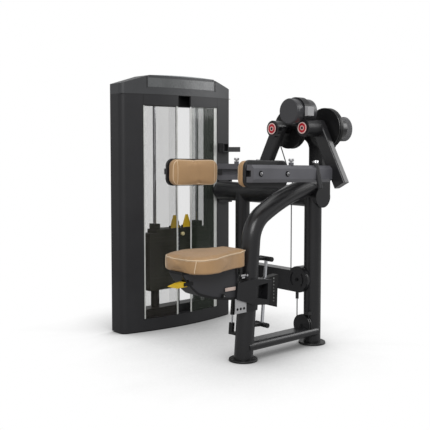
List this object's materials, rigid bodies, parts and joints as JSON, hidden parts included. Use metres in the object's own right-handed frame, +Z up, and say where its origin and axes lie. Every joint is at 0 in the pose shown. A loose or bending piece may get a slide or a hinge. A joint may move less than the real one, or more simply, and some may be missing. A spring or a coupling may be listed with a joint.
{
  "type": "lateral raise machine",
  "caption": "Seated lateral raise machine: weight-stack tower joined to a frame with swinging padded arms, counterweights and a height-adjustable seat.",
  "frame": {"origin": "centre of the front foot disc's underside, on the floor", "axes": "+Z up, +X the way the seated user faces, +Y towards the weight tower on the user's left"},
  "size_m": [1.289, 1.2809, 1.55],
  "materials": {
    "tower_paint": "satin",
    "frame_paint": "satin",
    "dark_paint": "satin",
    "bar_paint": "satin",
    "clear_shield": "polished",
    "smoked_shield": "polished",
    "rod_chrome": "polished",
    "pin_steel": "brushed",
    "stack_iron": "matt",
    "foot_plastic": "matt",
    "pulley_plastic": "matt",
    "strip_plastic": "matt",
    "shell_plastic": "satin",
    "yellow_plastic": "gloss",
    "grip_rubber": "matt",
    "cable_coat": "satin",
    "bush_bronze": "satin",
    "tan_leather": "satin",
    "gas_tube": "gloss"
  },
  "bodies": {
    "frame": {"tower_left_column": "tower_paint", "tower_right_column": "tower_paint", "tower_top_cap": "tower_paint", "tower_covers": "tower_paint", "front_shields": "clear_shield", "rear_shield": "smoked_shield", "feet": "foot_plastic", "guide_rods": "rod_chrome", "stack_base": "dark_paint", "resting_plates": "stack_iron", "number_strip": "strip_plastic", "head_crossmember": "dark_paint", "stack_cable": "cable_coat", "frame_cables": "cable_coat", "front_post": "frame_paint", "outer_post": "frame_paint", "inner_post": "frame_paint", "main_beam": "frame_paint", "lower_beam": "frame_paint", "lower_beam_cover": "shell_plastic", "bottom_rail": "frame_paint", "axles_and_bolts": "pin_steel", "pivot_yoke": "frame_paint", "pivot_bushes": "bush_bronze", "seat_crossbars": "dark_paint", "seat_rods": "rod_chrome", "accessory_hook": "shell_plastic"},
    "stack": {"lifted_plates": "stack_iron", "selector_stem": "pin_steel", "addon_weights": "stack_iron"},
    "left_lever": {"left_addon_lever": "yellow_plastic"},
    "right_lever": {"right_addon_lever": "yellow_plastic"},
    "selector": {"selector_pin": "pin_steel"},
    "left_head_wheel": {"left_head_pulley": "pulley_plastic"},
    "right_head_wheel": {"right_head_pulley": "pulley_plastic"},
    "tower_wheel": {"tower_pulley": "pulley_plastic"},
    "lower_wheel": {"lower_pulley": "pulley_plastic"},
    "base_wheel": {"base_pulley": "pulley_plastic"},
    "near_swing_arm": {"near_shaft": "pin_steel", "near_hub": "frame_paint", "near_arm": "frame_paint", "near_counterweight": "dark_paint", "near_bar": "bar_paint", "near_grip": "grip_rubber"},
    "far_swing_arm": {"far_shaft": "pin_steel", "far_hub": "frame_paint", "far_arm": "frame_paint", "far_counterweight": "dark_paint", "far_bar": "bar_paint", "far_grip": "grip_rubber"},
    "near_pad": {"near_pad_shell": "shell_plastic", "near_pad_cushion": "tan_leather"},
    "far_pad": {"far_pad_shell": "shell_plastic", "far_pad_cushion": "tan_leather"},
    "near_pull_knob": {"near_knob": "pin_steel"},
    "far_pull_knob": {"far_knob": "pin_steel"},
    "seat": {"seat_carriage": "frame_paint", "seat_cushion": "tan_leather", "gas_spring_body": "gas_tube"},
    "seat_handle": {"seat_lever": "yellow_plastic"}
  },
  "joints": [
    {"name": "stack_lift", "type": "slide", "parent": "frame", "child": "stack", "axis": [0, 0, 1], "range_m": [0, 0.1319], "deforming": ["stack_cable"]},
    {"name": "near_swing", "type": "hinge", "parent": "frame", "child": "near_swing_arm", "pos_m": [0.59, -0.115, 1.218], "axis": [1, 0, 0], "range_deg": [-70, 0]},
    {"name": "far_swing", "type": "hinge", "parent": "frame", "child": "far_swing_arm", "pos_m": [0.59, 0.115, 1.218], "axis": [1, 0, 0], "range_deg": [0, 70]},
    {"name": "left_head_turn", "type": "hinge", "parent": "frame", "child": "left_head_wheel", "pos_m": [0.3, 0.888, 1.425], "axis": [0, 1, 0], "range_deg": [0, 152]},
    {"name": "right_head_turn", "type": "hinge", "parent": "frame", "child": "right_head_wheel", "pos_m": [0.455, 0.888, 1.425], "axis": [0, 1, 0], "range_deg": [0, 152]},
    {"name": "tower_wheel_turn", "type": "hinge", "parent": "frame", "child": "tower_wheel", "pos_m": [0.505, 0.863, 0.327], "axis": [1, 0, 0], "range_deg": [-303, 0]},
    {"name": "lower_wheel_turn", "type": "hinge", "parent": "frame", "child": "lower_wheel", "pos_m": [0.505, 0.187, 0.352], "axis": [1, 0, 0], "range_deg": [-152, 0]},
    {"name": "base_wheel_turn", "type": "hinge", "parent": "frame", "child": "base_wheel", "pos_m": [0.478, 0.018, 0.108], "axis": [1, 0, 0], "continuous": true},
    {"name": "left_lever_tip", "type": "hinge", "parent": "stack", "child": "left_lever", "pos_m": [0.204, 0.8465, 0.621], "axis": [1, 0, 0], "range_deg": [-60, 0]},
    {"name": "right_lever_tip", "type": "hinge", "parent": "stack", "child": "right_lever", "pos_m": [0.3, 0.8465, 0.621], "axis": [1, 0, 0], "range_deg": [-60, 0]},
    {"name": "selector_pull", "type": "slide", "parent": "stack", "child": "selector", "axis": [0, -1, 0], "range_m": [0, 0.045]},
    {"name": "near_pad_slide", "type": "slide", "parent": "near_swing_arm", "child": "near_pad", "axis": [0.9997, 0, -0.0244], "range_m": [-0.2, 0]},
    {"name": "far_pad_slide", "type": "slide", "parent": "far_swing_arm", "child": "far_pad", "axis": [0.9997, 0, -0.0244], "range_m": [0, 0.2]},
    {"name": "near_knob_pull", "type": "slide", "parent": "near_swing_arm", "child": "near_pull_knob", "axis": [0.0244, 0, 0.9997], "range_m": [0, 0.012], "stiffness_N_per_m": 400, "springref_m": -0.005},
    {"name": "far_knob_pull", "type": "slide", "parent": "far_swing_arm", "child": "far_pull_knob", "axis": [0.0244, 0, 0.9997], "range_m": [0, 0.012], "stiffness_N_per_m": 400, "springref_m": -0.005},
    {"name": "seat_height", "type": "slide", "parent": "frame", "child": "seat", "axis": [0.0837, 0, 0.9965], "range_m": [-0.04, 0.07]},
    {"name": "seat_handle_lift", "type": "hinge", "parent": "seat", "child": "seat_handle", "pos_m": [-0.424, -0.033, 0.456], "axis": [0, 1, 0], "range_deg": [0, 20], "stiffness_Nm_per_rad": 2, "springref_deg": -5.73}
  ],
  "couplings": [
    {"joint": "near_swing", "follows": "stack_lift", "rad_per_m": -9.2593},
    {"joint": "far_swing", "follows": "stack_lift", "rad_per_m": 9.2593},
    {"joint": "left_head_turn", "follows": "stack_lift", "rad_per_m": 20},
    {"joint": "right_head_turn", "follows": "stack_lift", "rad_per_m": 20},
    {"joint": "tower_wheel_turn", "follows": "stack_lift", "rad_per_m": -40},
    {"joint": "lower_wheel_turn", "follows": "stack_lift", "rad_per_m": -20}
  ]
}
